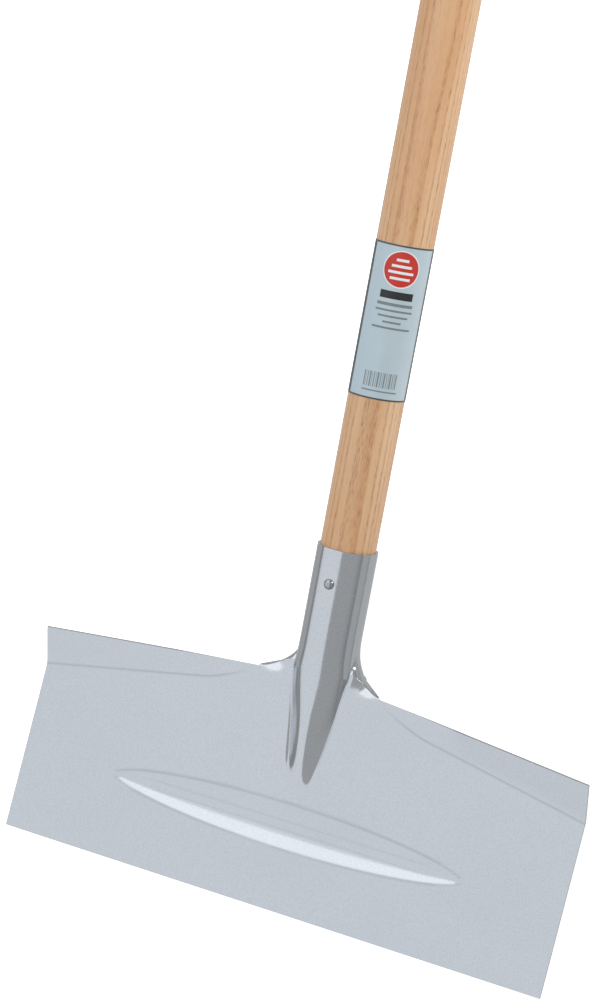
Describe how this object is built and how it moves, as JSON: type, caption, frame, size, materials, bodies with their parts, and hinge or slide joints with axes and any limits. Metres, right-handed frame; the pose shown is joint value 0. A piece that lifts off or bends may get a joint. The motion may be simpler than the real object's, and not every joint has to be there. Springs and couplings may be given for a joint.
{
  "type": "scoop shovel",
  "caption": "Long-handled scoop shovel: wide shallow sheet-steel blade with a low rear flange and pressed groove, rolled socket, nail and ash handle with a foil label.",
  "frame": {"origin": "middle of the part's footprint at its lowest point, the underside of the socket where it meets the blade", "axes": "+Z is the load side, square to the level pan; +Y runs from the cutting edge back towards the grip; X runs across the blade"},
  "size_m": [0.4002, 1.4596, 0.2599],
  "materials": {
    "sheet_steel": "bright zinc-coated sheet, satin",
    "ash": "sanded ash, thin clear varnish",
    "nail_steel": "bright drawn steel",
    "foil": "printed foil label, satin"
  },
  "bodies": {
    "root": {"blade": "sheet_steel", "handle": "ash", "nail": "nail_steel", "label": "foil"}
  },
  "joints": []
}
